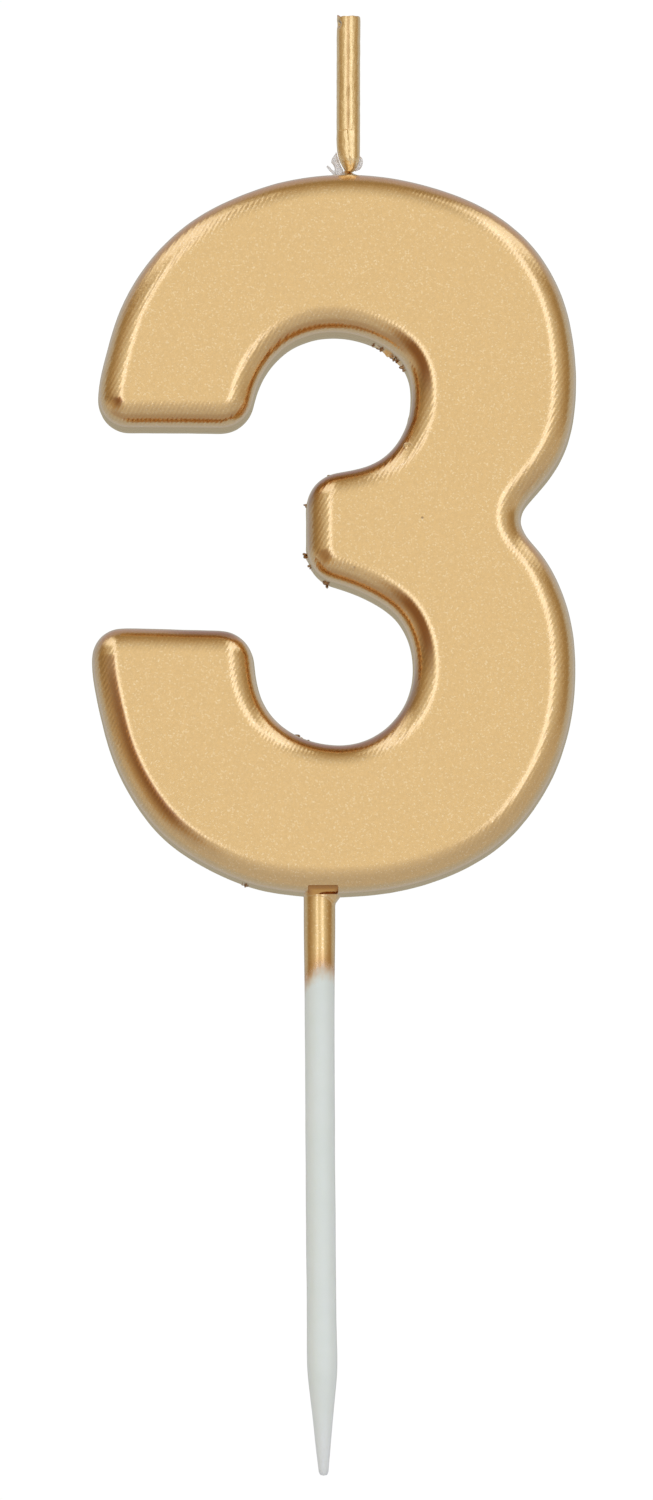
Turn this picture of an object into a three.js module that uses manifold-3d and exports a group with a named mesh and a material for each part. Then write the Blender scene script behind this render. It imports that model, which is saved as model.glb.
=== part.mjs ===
// A moulded numeral candle: a wax digit 3 on a plastic pick, with a wax-coated wick on top.
// Millimetres, +Z up, the digit's face towards -Y. The origin is on the pick's axis at the
// digit's lowest edge, half way through its thickness.
import * as THREE from "three";
import { mergeVertices } from "three/addons/utils/BufferGeometryUtils.js";
import Module from "manifold-3d";

const wasm = await Module();
wasm.setup();

// Driving dimensions
const CLEARANCE = 0.3; // between a cast-in piece and the wax round it

const DIGIT = {
  thickness: 10,
  edgeRound: 2.6, // quarter-round from the flat face to the side wall
  roundSteps: 4,
};

const PICK = {
  radius: 1.5,
  shaftRadius: 1.39,
  buried: 11,
  exposed: 56.1,
  bellyRadius: 1.43,
  bellyZ: -45.5,
  pointZ: -54,
  pointRadius: 0.63,
  tipRadius: 0.45,
  neckRadius: 1.3, // between the grip rings
  ringRadius: 1.7,
  ringZs: [4.6, 8],
  bow: 0.4, // sideways lean of the tip
  sides: 24,
};

const NOTCH = { width: 3.1, low: 0.26, high: 1.05, backY: -2.1 };

const WICK = {
  x: 2.77,
  bottom: 58.3,
  top: 85.5,
  plies: 3,
  plyRadius: 0.14,
  twistRadius: 0.18, // from the wick's axis to each ply's axis
  pitch: 3.6,
  sides: 5,
  stepsPerTurn: 10,
};
const WICK_RADIUS = WICK.plyRadius + WICK.twistRadius;

const COAT = {
  radius: 1.12,
  footRadius: 0.85,
  footZ: 70.5,
  shoulderZ: 73.2,
  topZ: 85.8,
  sides: 20,
};

const SHARD_THICKNESS = 0.35;

// Outline of the digit, seen from the front and followed clockwise from the top:
// x, z and the heading of travel in degrees (0 is towards +X, 90 towards +Z).
// Each stretch is a straight line or a smooth arc between the two headings.
const OUTLINE = [
  // upper bowl, outer side
  [2.4, 70.2, 0],
  [11.7, 68.7, -17.5],
  [19.85, 64.1, -44],
  [23.65, 58.0, -70],
  [24.9, 49.95, -90],
  [23.65, 42.95, -114],
  [21.4, 39.65, -131],
  // waist
  [20.45, 38.55, -131],
  [19.5, 36.5, -90],
  [20.4, 34.4, -50],
  // lower bowl, outer side
  [21.25, 33.4, -50],
  [23.45, 29.6, -68],
  [24.8, 22.3, -90],
  [23.35, 13.35, -110],
  [19.4, 6.7, -131],
  [12.0, 1.8, -158.5],
  [1.2, 0.0, -180],
  [-8.7, 1.7, 155.6],
  [-14.8, 5.35, 139],
  [-19.0, 10.95, 118],
  [-21.25, 17.6, 103],
  // end of the lower arm
  [-22.05, 22.85, 92],
  [-19.15, 25.85, 0],
  [-9.6, 25.6, -1.5],
  [-6.4, 22.6, -85],
  // lower counter
  [-5.05, 17.9, -57],
  [2.0, 14.45, 0],
  [9.12, 21.95, 90],
  [6.4, 27.95, 146],
  [2.3, 29.95, 162],
  // middle stub
  [1.35, 30.25, 165],
  [-1.25, 33.65, 90],
  [-1.25, 37.6, 90],
  [1.7, 41.0, 10],
  // upper counter
  [5.76, 42.2, 32],
  [7.5, 43.85, 55],
  [8.92, 48.4, 90],
  [8.3, 51.3, 118],
  [6.6, 53.1, 145],
  [1.3, 54.7, 180],
  [-2.4, 53.8, -153],
  [-4.25, 52.35, -134],
  [-5.6, 50.4, -117],
  [-6.45, 47.95, -103],
  // end of the upper arm
  [-9.7, 45.35, 180],
  [-18.6, 45.4, 180],
  [-21.5, 48.35, 89],
  // upper bowl, outer left
  [-20.25, 54.4, 75],
  [-17.9, 59.8, 59.5],
  [-14.1, 64.3, 42],
  [-8.0, 68.0, 23],
  [-2.3, 69.75, 10],
];
const ARC_STEP = 9; // degrees turned between two points of the outline
const LONGEST_STEP = 3; // millimetres between two points of an arc

const SHARDS = {
  coat_shard_left: [
    [1.5, 70.5],
    [1.62, 71.3],
    [1.5, 72.0],
    [1.4, 72.5],
    [1.1, 71.9],
    [1.24, 71.3],
    [0.75, 71.5],
  ],
  coat_shard_right: [
    [4.02, 70.75],
    [4.38, 71.35],
    [4.22, 72.2],
    [3.98, 71.9],
    [4.02, 71.3],
  ],
};

const MATERIALS = {
  lacquer: new THREE.MeshStandardMaterial({ color: 0xe3bf85, roughness: 0.38, metalness: 0.9 }),
  plastic: new THREE.MeshStandardMaterial({ color: 0xd6dbd3, roughness: 0.42, metalness: 0 }),
  cotton: new THREE.MeshStandardMaterial({ color: 0xe8e0cf, roughness: 0.95, metalness: 0 }),
  clearWax: new THREE.MeshStandardMaterial({ color: 0xe6e8e2, roughness: 0.45, metalness: 0 }),
};

// ---- Solids ----

function toSolid(geometry) {
  const plain = geometry.clone();
  plain.deleteAttribute("normal");
  plain.deleteAttribute("uv");
  const merged = mergeVertices(plain, 1e-4);
  return new wasm.Manifold(
    new wasm.Mesh({
      numProp: 3,
      vertProperties: new Float32Array(merged.attributes.position.array),
      triVerts: new Uint32Array(merged.index.array),
    }),
  );
}

function toGeometry(solid) {
  const mesh = solid.getMesh();
  const geometry = new THREE.BufferGeometry();
  geometry.setAttribute("position", new THREE.BufferAttribute(mesh.vertProperties, 3));
  geometry.setIndex(new THREE.BufferAttribute(mesh.triVerts, 1));
  geometry.computeVertexNormals();
  return geometry;
}

function named(name, geometry, material) {
  const mesh = new THREE.Mesh(geometry, material.clone());
  mesh.name = name;
  return mesh;
}

// A lathe turned about the Z axis from [radius, z] pairs that run from bottom to top.
function turned(profile, sides) {
  const points = profile.map(([r, z]) => new THREE.Vector2(r, z));
  return new THREE.LatheGeometry(points, sides).rotateX(Math.PI / 2);
}

// A plate whose outline is drawn in X and Z, centred on Y = 0.
function plate(shape, thickness, options = {}) {
  const geometry = new THREE.ExtrudeGeometry(shape, { depth: thickness, bevelEnabled: false, ...options });
  return geometry.translate(0, 0, -thickness / 2).rotateX(Math.PI / 2);
}

// ---- The digit ----

// Points from one outline station up to, but not including, the next one.
function stretch([x0, z0, heading0], [x1, z1, heading1]) {
  const start = new THREE.Vector2(x0, z0);
  const end = new THREE.Vector2(x1, z1);
  const turn = THREE.MathUtils.euclideanModulo(heading1 - heading0 + 180, 360) - 180;
  const angle = THREE.MathUtils.degToRad(Math.abs(turn));
  const chord = start.distanceTo(end);
  const handle = angle < 0.01 ? chord / 3 : (chord * (2 / 3) * Math.tan(angle / 4)) / Math.sin(angle / 2);
  const along = (point, heading, distance) => {
    const radians = THREE.MathUtils.degToRad(heading);
    return point.clone().add(new THREE.Vector2(Math.cos(radians), Math.sin(radians)).multiplyScalar(distance));
  };
  const curve = new THREE.CubicBezierCurve(
    start,
    along(start, heading0, handle),
    along(end, heading1, -handle),
    end,
  );
  // A straight is one step, because a lid leaves out the points between the ends of a straight.
  const arcSteps = Math.max(Math.ceil(Math.abs(turn) / ARC_STEP), Math.ceil(chord / LONGEST_STEP));
  return curve.getPoints(angle < 0.01 ? 1 : arcSteps).slice(0, -1);
}

function digitShape() {
  const points = OUTLINE.flatMap((station, i) => stretch(station, OUTLINE[(i + 1) % OUTLINE.length]));
  return new THREE.Shape(points);
}

function digitBlank() {
  const wall = DIGIT.thickness - 2 * DIGIT.edgeRound;
  return toSolid(
    plate(digitShape(), wall, {
      bevelEnabled: true,
      bevelThickness: DIGIT.edgeRound,
      bevelSize: DIGIT.edgeRound,
      bevelOffset: -DIGIT.edgeRound,
      bevelSegments: DIGIT.roundSteps,
    }),
  );
}

function pickSocket() {
  const below = -2;
  const widest = PICK.ringRadius + CLEARANCE;
  const mouth = PICK.radius + CLEARANCE;
  const profile = [
    [0, below],
    [mouth, below],
    [mouth, 2.2],
    [widest, PICK.ringZs[0] - 1],
    [widest, PICK.buried],
    [0, PICK.buried + CLEARANCE],
  ];
  return toSolid(turned(profile, PICK.sides));
}

function wickChannel() {
  const above = 72;
  const radius = WICK_RADIUS + CLEARANCE;
  const profile = [
    [0, WICK.bottom - CLEARANCE],
    [radius, WICK.bottom - CLEARANCE],
    [radius, above],
    [0, above],
  ];
  return toSolid(turned(profile, 12).translate(WICK.x, 0, 0));
}

// The mould closes round the pick with a small key, which leaves a notch in the underside.
function keyNotch() {
  const frontY = -DIGIT.thickness;
  const box = new THREE.BoxGeometry(NOTCH.width, NOTCH.backY - frontY, NOTCH.high - NOTCH.low);
  return toSolid(box.translate(0, (NOTCH.backY + frontY) / 2, (NOTCH.low + NOTCH.high) / 2));
}

function waxDigit() {
  const solid = digitBlank().subtract(pickSocket()).subtract(wickChannel()).subtract(keyNotch());
  return named("wax_digit", toGeometry(solid), MATERIALS.lacquer);
}

// ---- The pick ----

function gripRing(z) {
  const half = 0.3;
  const ramp = 0.4;
  return [
    [PICK.neckRadius, z - half - ramp],
    [PICK.ringRadius, z - half],
    [PICK.ringRadius, z + half],
    [PICK.neckRadius, z + half + ramp],
  ];
}

function pick() {
  const profile = [
    [0, -PICK.exposed],
    [PICK.tipRadius, -PICK.exposed],
    [PICK.pointRadius, PICK.pointZ],
    [PICK.bellyRadius, PICK.bellyZ],
    [PICK.shaftRadius, -40],
    [PICK.shaftRadius, -26],
    [PICK.shaftRadius, -12],
    [PICK.radius, -3],
    [PICK.radius, 2],
    ...PICK.ringZs.flatMap(gripRing),
    [PICK.neckRadius, PICK.buried - 0.4],
    [PICK.neckRadius - 0.4, PICK.buried],
    [0, PICK.buried],
  ];
  const geometry = turned(profile, PICK.sides);
  const position = geometry.attributes.position;
  for (let i = 0; i < position.count; i++) {
    const down = Math.max(0, -position.getZ(i)) / PICK.exposed;
    position.setX(i, position.getX(i) + PICK.bow * down * down);
  }
  geometry.computeVertexNormals();
  return named("pick", geometry, MATERIALS.plastic);
}

// ---- The wick ----

class PlyPath extends THREE.Curve {
  constructor(phase) {
    super();
    this.phase = phase;
  }
  getPoint(t) {
    const z = WICK.bottom + t * (WICK.top - WICK.bottom);
    const angle = this.phase + (2 * Math.PI * (z - WICK.bottom)) / WICK.pitch;
    return new THREE.Vector3(
      WICK.x + WICK.twistRadius * Math.cos(angle),
      WICK.twistRadius * Math.sin(angle),
      z,
    );
  }
}

function wickPly(index) {
  const corners = Array.from({ length: WICK.sides }, (_, i) => {
    const angle = (2 * Math.PI * i) / WICK.sides;
    return new THREE.Vector2(WICK.plyRadius * Math.cos(angle), WICK.plyRadius * Math.sin(angle));
  });
  const turns = (WICK.top - WICK.bottom) / WICK.pitch;
  const geometry = new THREE.ExtrudeGeometry(new THREE.Shape(corners), {
    steps: Math.round(turns * WICK.stepsPerTurn),
    extrudePath: new PlyPath((2 * Math.PI * index) / WICK.plies),
  });
  return named(`wick_ply_${index + 1}`, geometry, MATERIALS.cotton);
}

function wickCoat() {
  const bore = WICK_RADIUS + CLEARANCE;
  const profile = [
    [bore, COAT.footZ],
    [COAT.footRadius, COAT.footZ],
    [COAT.radius, COAT.shoulderZ],
    [COAT.radius, COAT.topZ],
    [bore, COAT.topZ],
    [bore, COAT.footZ],
  ];
  const geometry = turned(profile, COAT.sides).translate(WICK.x, 0, 0);
  return named("wick_coat", geometry, MATERIALS.lacquer);
}

function coatShard([name, corners]) {
  const shape = new THREE.Shape(corners.map(([x, z]) => new THREE.Vector2(x, z)));
  return named(name, plate(shape, SHARD_THICKNESS), MATERIALS.clearWax);
}

// ---- The candle ----

const group = new THREE.Group();
group.name = "number_candle";
group.add(waxDigit(), pick(), wickCoat());
for (let index = 0; index < WICK.plies; index++) {
  group.add(wickPly(index));
}
group.add(...Object.entries(SHARDS).map(coatShard));

export default group;
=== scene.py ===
"""Looks of a moulded numeral candle: gold lacquered wax digit, coated wick and white plastic pick.

Lengths in this script are in millimetres, in the CAD model's frame, until a mesh is made in metres.
"""
import contextlib
import math

import bmesh
import bpy
import numpy as np
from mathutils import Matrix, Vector, noise


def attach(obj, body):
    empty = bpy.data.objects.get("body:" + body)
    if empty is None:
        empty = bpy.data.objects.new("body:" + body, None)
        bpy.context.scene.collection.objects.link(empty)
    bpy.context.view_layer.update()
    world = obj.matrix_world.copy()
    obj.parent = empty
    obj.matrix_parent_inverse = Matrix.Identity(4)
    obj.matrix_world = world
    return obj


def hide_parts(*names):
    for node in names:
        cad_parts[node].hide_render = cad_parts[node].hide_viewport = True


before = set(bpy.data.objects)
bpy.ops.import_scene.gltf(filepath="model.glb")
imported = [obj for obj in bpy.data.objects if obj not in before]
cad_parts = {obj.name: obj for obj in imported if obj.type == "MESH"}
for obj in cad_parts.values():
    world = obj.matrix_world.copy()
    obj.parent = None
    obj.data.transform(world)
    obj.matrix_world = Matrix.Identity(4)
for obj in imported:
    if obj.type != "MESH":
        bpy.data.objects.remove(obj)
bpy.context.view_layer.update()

MM = 0.001
NOISE_START = Vector((31.7, 12.9, 5.3))

# The digit's section
HALF_THICKNESS = 5.0
EDGE_ROUND = 2.75  # quarter round from the flat face to the side wall
WALL_HALF = HALF_THICKNESS - EDGE_ROUND
FRONT_STEPS = 16
BACK_STEPS = 9
WALL_LEVELS = (1.75, 1.15, 0.65, 0.34, 0.18, 0.08)
RIM_STEP = 0.2
RIM_BLUR = 0.22
CAD_WALL_EDGE = 2.4  # depth of the CAD wall's edges, which are true rings of the outline
LEVEL_TOLERANCE = 0.005
FACE_MARGIN = 0.14  # flat strip just inside the round, which keeps the face's shading flat
DRAFT = 0.05  # how much the wall stands out at its middle, where the mould parts
MOUND_FROM = 68.5  # height below which the wick draws up no wax

FIN_HEIGHT = 0.018  # of the fin all along the parting line
FIN_HALF_THICKNESS = 0.11

# What else the mould left along its parting line: place on the rim, half length and height
FLASH_PATCHES = (
    (6.4, 52.8, 2.3, 0.26),
    (-1.2, 32.0, 2.0, 0.16),
    (-1.6, 15.4, 1.1, 0.16),
    (9.0, 46.2, 1.2, 0.06),
    (-7.1, 1.1, 0.5, 0.14),
)
# Place on the rim and size
CRUMBS = (
    (1.0, 41.2, 0.15),
    (-1.2, 38.1, 0.13),
    (-1.4, 33.2, 0.22),
    (-1.1, 31.9, 0.15),
    (0.7, 30.3, 0.24),
    (5.3, 53.8, 0.13),
    (5.9, 53.5, 0.22),
    (7.2, 52.5, 0.2),
    (7.5, 52.15, 0.14),
    (8.0, 51.4, 0.2),
    (-2.0, 15.7, 0.17),
    (-1.2, 15.3, 0.13),
    (-7.1, 1.1, 0.18),
)
CRUMB_GRAINS = 3

BUBBLE = 40  # shape number that marks the ring of a burst bubble
BUBBLE_PLACE = (8.6, 43.4)
BUBBLE_INSET = 1.15
BUBBLE_DEPTH = -4.28
BUBBLE_HALF_SIZES = (0.48, 0.46, 0.44)
PITS = ((9.96, 36.38, 0.17), (3.35, 31.5, 0.26), (3.2, 31.2, 0.36))  # place in x and z, and radius

NOTCH_SIDES = (-1.12, 1.82)
NOTCH_HEIGHTS = (0.0, 0.76)
NOTCH_FRONT = -6.0  # clear of the digit's face
NOTCH_BACK = -1.95
NOTCH_LEAN = 0.25  # how much less deep it is at its top
NOTCH_CORNER = 0.16

# Degrees round from the right, seen from the front
DARK_REFLECTION_HEADING = 208
TOOL_COURSE = 60
TOOL_PITCH = 0.37  # from one tool mark to the next

# The rim coordinate goes from 0 to 1 round the front edge, to 2 over the wall and to 3 round the back
FRONT_PLACE = -0.1
PARTING_PLACE = 1.5  # half way over the wall
BACK_PLACE = 3.1
CRUMB_PLACE = -5
NOTCH_PLACE = -10

WICK_X = 2.8
PICK_RADIUS = 1.4


# ---- Meshes ----


def new_object(name, points, faces):
    """A mesh object from points in millimetres."""
    mesh = bpy.data.meshes.new(name)
    mesh.from_pydata([tuple(c * MM for c in p) for p in points], [], faces)
    mesh.update()
    made = bpy.data.objects.new(name, mesh)
    bpy.context.scene.collection.objects.link(made)
    mesh.shade_smooth()
    return made


def grid_faces(rows, columns):
    """Quads between closed rings of points, each ring `columns` long."""
    faces = []
    for r in range(rows - 1):
        for c in range(columns):
            d = (c + 1) % columns
            low, high = r * columns, (r + 1) * columns
            faces.append((low + c, low + d, high + d, high + c))
    return faces


@contextlib.contextmanager
def editing(made):
    """An object's mesh, open for editing and then written back."""
    shape = bmesh.new()
    shape.from_mesh(made.data)
    yield shape
    shape.to_mesh(made.data)
    shape.free()


def solid_object(name, points, faces):
    """A closed mesh object with its faces turned out."""
    made = new_object(name, points, faces)
    with editing(made) as shape:
        bmesh.ops.recalc_face_normals(shape, faces=shape.faces)
    return made


def ripple(point, size, shift=0.0):
    """Smooth noise from about -1 to 1 with features of `size` millimetres."""
    return noise.noise(Vector(point) / size + NOISE_START + Vector((0, 0, shift)))


def bell(value, width):
    """1 where the value is 0, falling smoothly to almost 0 at twice the width."""
    return math.exp(-((value / width) ** 2))


def near_angle(angle, place):
    """The angle from a place on a circle, from -pi to pi."""
    return math.atan2(math.sin(angle - place), math.cos(angle - place))


def end_fans(columns, last, low_centre, high_centre):
    """Triangles that close a tube's first ring and its last one, which starts at point `last`."""
    faces = []
    for c in range(columns):
        d = (c + 1) % columns
        faces.append((low_centre, d, c))
        faces.append((high_centre, last + c, last + d))
    return faces


def finish_piece(made, nodes, material, sharp_degrees=40):
    """Gives a mesh its one material, hangs it on the root body and hides the CAD nodes that it shows."""
    made.data.materials.clear()
    made.data.materials.append(material)
    for polygon in made.data.polygons:
        polygon.material_index = 0
    made.data.set_sharp_from_angle(angle=math.radians(sharp_degrees))
    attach(made, "root")
    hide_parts(*nodes)


# ---- The digit's rim ----


def rim_ring(node, level):
    """The closed ring of a node's points at one depth, walked round once, as [x, z] in millimetres."""
    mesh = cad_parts[node].data
    places = {}
    for vertex in mesh.vertices:
        x, y, z = (c / MM for c in vertex.co)
        if abs(y - level) < LEVEL_TOLERANCE:
            places[vertex.index] = (round(x, 3), round(z, 3))
    links = {}
    for edge in mesh.edges:
        a, b = (places.get(i) for i in edge.vertices)
        if a and b and a != b:
            links.setdefault(a, set()).add(b)
            links.setdefault(b, set()).add(a)
    start = min(links)
    walk = [start]
    here, before = max(links[start]), start
    while here != start:
        walk.append(here)
        onward = [p for p in links[here] if p != before]
        here, before = onward[0], here
    ring = np.array(walk)
    x, z = ring.T
    area = np.sum(x * np.roll(z, -1) - z * np.roll(x, -1))
    return ring[::-1] if area > 0 else ring


def split_long(ring, longest=3.3, piece=1.1):
    """The ring with more points along its straights, which holds the curve through them straight."""
    points = []
    for here, after in zip(ring, np.roll(ring, -1, 0)):
        length = np.linalg.norm(after - here)
        count = max(1, round(length / piece)) if length > longest else 1
        points += [here + (after - here) * k / count for k in range(count)]
    return np.array(points)


def curve_through(knots, step, fine_step=0.02):
    """The closed cubic spline through the knots, as points about `step` apart."""
    count = len(knots)
    index = np.arange(count)
    after = np.roll(knots, -1, 0)
    span = np.linalg.norm(after - knots, axis=1)
    slope = (after - knots) / span[:, None]
    matrix = np.zeros((count, count))
    matrix[index, index] = 2 * (np.roll(span, 1) + span)
    matrix[index, index - 1] = np.roll(span, 1)
    matrix[index, (index + 1) % count] = span
    bend = np.linalg.solve(matrix, 6 * (slope - np.roll(slope, 1, 0)))
    bend_after = np.roll(bend, -1, 0)
    fine = []
    for i in range(count):
        h = span[i]
        t = np.linspace(0, h, max(2, int(h / fine_step)), endpoint=False)[:, None]
        fine.append(
            (bend[i] * (h - t) ** 3 + bend_after[i] * t**3) / (6 * h)
            + (knots[i] / h - bend[i] * h / 6) * (h - t)
            + (after[i] / h - bend_after[i] * h / 6) * t
        )
    fine = np.concatenate(fine)
    closed = np.vstack([fine, fine[:1]])
    run = np.concatenate([[0], np.cumsum(np.linalg.norm(np.diff(closed, axis=0), axis=1))])
    wanted = np.linspace(0, run[-1], round(run[-1] / step), endpoint=False)
    return np.stack([np.interp(wanted, run, closed[:, k]) for k in range(2)], 1)


def soften(values, width):
    """A closed row of values blurred over `width` samples."""
    reach = int(width * 4)
    kernel = np.exp(-0.5 * (np.arange(-reach, reach + 1) / width) ** 2)
    kernel /= kernel.sum()
    if values.ndim > 1:
        return np.stack([soften(v, width) for v in values.T], 1)
    return np.convolve(np.concatenate([values[-reach:], values, values[:reach]]), kernel, "valid")


class Rim:
    """The digit's outline with its inward direction and how far the round can reach in at each point."""

    def __init__(self):
        ring = split_long(rim_ring("wax_digit", CAD_WALL_EDGE))
        self.points = soften(curve_through(ring, RIM_STEP), RIM_BLUR / RIM_STEP)
        self.count = len(self.points)
        along = np.roll(self.points, -1, 0) - np.roll(self.points, 1, 0)
        length = np.linalg.norm(along, axis=1)
        self.step = length.mean() / 2
        along /= length[:, None]
        self.inward = np.stack([along[:, 1], -along[:, 0]], 1)
        self.reach = self.reach_inward(along, length)
        wave = [0.035 * ripple((x, 0, z), 5) + 0.012 * ripple((x, 0, z), 1.3, 7) for x, z in self.points]
        self.points = self.points + self.inward * np.array(wave)[:, None]

    def reach_inward(self, along, length):
        """Share of the round's depth that fits at each point: less where the outline turns tightly."""
        heading = np.unwrap(np.arctan2(along[:, 1], along[:, 0]))
        closed = np.concatenate([heading[-1:] + 2 * np.pi, heading, heading[:1] - 2 * np.pi])
        turn = soften((closed[2:] - closed[:-2]) / length, 0.3 / self.step)
        convex_radius = 1 / np.maximum(-turn, 1e-3)
        reach = np.clip((convex_radius - 0.1) / (EDGE_ROUND + FACE_MARGIN), 0.3, 1)
        window = int(0.9 / self.step)
        lowest = np.min([np.roll(reach, k) for k in range(-window, window + 1)], axis=0)
        return soften(lowest, 0.6 / self.step)

    def nearest(self, x, z):
        return int(np.argmin(np.hypot(*(self.points - (x, z)).T)))

    def flash(self):
        """Height of the thin fin along the parting line at each point."""
        index = np.arange(self.count)
        half_way = self.count // 2
        ragged = np.array([max(0, 0.45 + 1.3 * ripple((x, 3, z), 0.55, 3)) for x, z in self.points])
        height = np.full(self.count, FIN_HEIGHT)
        for x, z, half_length, tall in FLASH_PATCHES:
            steps = (index - self.nearest(x, z) + half_way) % self.count - half_way
            away = np.abs(steps) * self.step
            patch = np.clip(1.3 - away / half_length, 0, 1)
            height = np.maximum(height, tall * patch * ragged)
        return height


def quarter_round(share):
    """Inset from the wall and drop from the face, at a share of the way from face to wall."""
    tilt = math.pi / 2 * share
    return EDGE_ROUND * (1 - math.sin(tilt)), EDGE_ROUND * (1 - math.cos(tilt))


def section():
    """Rows of the digit's section from the front face to the back: inset, depth and place across."""
    rows = []
    for k in range(FRONT_STEPS + 1):
        inset, drop = quarter_round(k / FRONT_STEPS)
        rows.append((inset, -HALF_THICKNESS + drop, k / FRONT_STEPS))
    rows += [(0, -y, PARTING_PLACE - y / WALL_HALF / 2) for y in WALL_LEVELS]
    rows.append((0, 0, PARTING_PLACE))
    rows += [(0, y, PARTING_PLACE + y / WALL_HALF / 2) for y in reversed(WALL_LEVELS)]
    for k in range(BACK_STEPS + 1):
        inset, drop = quarter_round(1 - k / BACK_STEPS)
        rows.append((inset, HALF_THICKNESS - drop, 2 + k / BACK_STEPS))
    margin = EDGE_ROUND + FACE_MARGIN
    return [(margin, -HALF_THICKNESS, FRONT_PLACE), *rows, (margin, HALF_THICKNESS, BACK_PLACE)]


def mound(x, y, z):
    """How far the wax is drawn up round the wick's foot."""
    if z < MOUND_FROM:
        return 0.0
    away = math.hypot(x - WICK_X + 0.08, y / 1.1)
    meniscus = 0.42 * math.exp(-((away / 1.4) ** 2)) + 0.4 * math.exp(-((away / 0.4) ** 1.5))
    return meniscus * (1 + 0.2 * ripple((x, y, z), 0.7))


def digit_blank(rim):
    """The digit before its notch is cut. Its UV map's v holds the rim coordinate."""
    rows = section()
    flash = rim.flash()
    points = []
    for inset, depth, _ in rows:
        draft = DRAFT * max(0, 1 - abs(depth) / WALL_HALF)
        fin = flash * bell(depth, FIN_HALF_THICKNESS)
        ring = rim.points + rim.inward * (inset * rim.reach - draft - fin)[:, None]
        points += [(x, depth, z + mound(x, depth, z)) for x, z in ring]
    faces = grid_faces(len(rows), rim.count)
    faces.append(tuple(range(rim.count)))
    last = (len(rows) - 1) * rim.count
    faces.append(tuple(last + k for k in reversed(range(rim.count))))
    made = solid_object("digit", points, faces)
    marks = made.data.uv_layers.new(name="rim").data
    for loop, mark in zip(made.data.loops, marks):
        mark.uv = (0, rows[loop.vertex_index // rim.count][2])
    return made


def rounded_box(left, right, low, high, corner, steps=4):
    """Outline of a rectangle with rounded corners, in x and z."""
    outline = []
    for x, z, start in ((right, high, 0), (left, high, 90), (left, low, 180), (right, low, 270)):
        centre_x = x - corner if x == right else x + corner
        centre_z = z - corner if z == high else z + corner
        for k in range(steps + 1):
            angle = math.radians(start + 90 * k / steps)
            outline.append((centre_x + corner * math.cos(angle), centre_z + corner * math.sin(angle)))
    return outline


def key_notch():
    """The recess that the mould's key leaves in the underside, in front of the pick."""
    low, high = NOTCH_HEIGHTS
    outline = rounded_box(*NOTCH_SIDES, low, high, NOTCH_CORNER)
    count = len(outline)
    points = [(x, NOTCH_FRONT, z) for x, z in outline]
    points += [(x, NOTCH_BACK - NOTCH_LEAN * (z - low) / (high - low), z) for x, z in outline]
    faces = [tuple(range(count)), tuple(reversed(range(count, 2 * count)))]
    faces += [(k, k + count, (k + 1) % count + count, (k + 1) % count) for k in range(count)]
    made = solid_object("notch", points, faces)
    for mark in made.data.uv_layers.new(name="rim").data:
        mark.uv = (0, NOTCH_PLACE)
    return made


def cut_away(made, cutter):
    """Cuts the cutter out of a mesh and removes the cutter."""
    cut = made.modifiers.new("cut", "BOOLEAN")
    cut.operation = "DIFFERENCE"
    cut.solver = "MANIFOLD"
    cut.object = cutter
    bpy.context.view_layer.update()
    evaluated = made.evaluated_get(bpy.context.evaluated_depsgraph_get())
    mesh = bpy.data.meshes.new_from_object(evaluated)
    made.modifiers.clear()
    made.data = mesh
    bpy.data.objects.remove(cutter)
    mesh.shade_smooth()


def shape_lump(vertex, centre, half_sizes, number):
    """Moves a point of a small ball to its place on a rough crumb, or on the burst bubble's ring."""
    bulge = 1
    if number != BUBBLE:
        bulge += 0.45 * ripple(vertex.co, 0.9, number * 3.1) + 0.2 * ripple(vertex.co, 0.4, number)
    elif vertex.co.y < 0:
        vertex.co.y *= 0.3 + 1.3 * (vertex.co.x**2 + vertex.co.z**2)
    local = Vector(c * h * bulge for c, h in zip(vertex.co, half_sizes))
    vertex.co = (Vector(centre) + local) * MM


def add_lumps(made, lumps):
    """Joins small lumps to a mesh. Each is a centre, its three half sizes and a number for its shape."""
    with editing(made) as shape:
        rim_place = shape.loops.layers.uv["rim"]
        for centre, half_sizes, number in lumps:
            is_bubble = number == BUBBLE
            ball = bmesh.ops.create_icosphere(shape, subdivisions=3 if is_bubble else 2, radius=1)
            for vertex in ball["verts"]:
                shape_lump(vertex, centre, half_sizes, number)
                for loop in vertex.link_loops:
                    loop[rim_place].uv = (0, 0 if is_bubble else CRUMB_PLACE)
        for face in shape.faces:
            face.smooth = True


def crumb_lumps(rim):
    """Crumbs of a few grains each along the parting line, and the burst bubble in the upper counter."""
    lumps = []
    for number, (x, z, size) in enumerate(CRUMBS):
        i = rim.nearest(x, z)
        px, pz = rim.points[i] - rim.inward[i] * size * 0.55
        for grain in range(CRUMB_GRAINS):
            turn = number * 2.1 + grain * 2.4
            half = size * (1.3 - 0.25 * grain)
            centre = (
                px + size * 0.8 * math.cos(turn),
                0.2 * math.sin(turn + number),
                pz + size * 0.8 * math.sin(turn),
            )
            half_sizes = (half * (1 + 0.4 * math.sin(turn)), half * 0.7, half * 0.7)
            lumps.append((centre, half_sizes, number + grain / 7))
    i = rim.nearest(*BUBBLE_PLACE)
    px, pz = rim.points[i] + rim.inward[i] * BUBBLE_INSET
    lumps.append(((px, BUBBLE_DEPTH, pz), BUBBLE_HALF_SIZES, BUBBLE))
    return lumps


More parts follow.
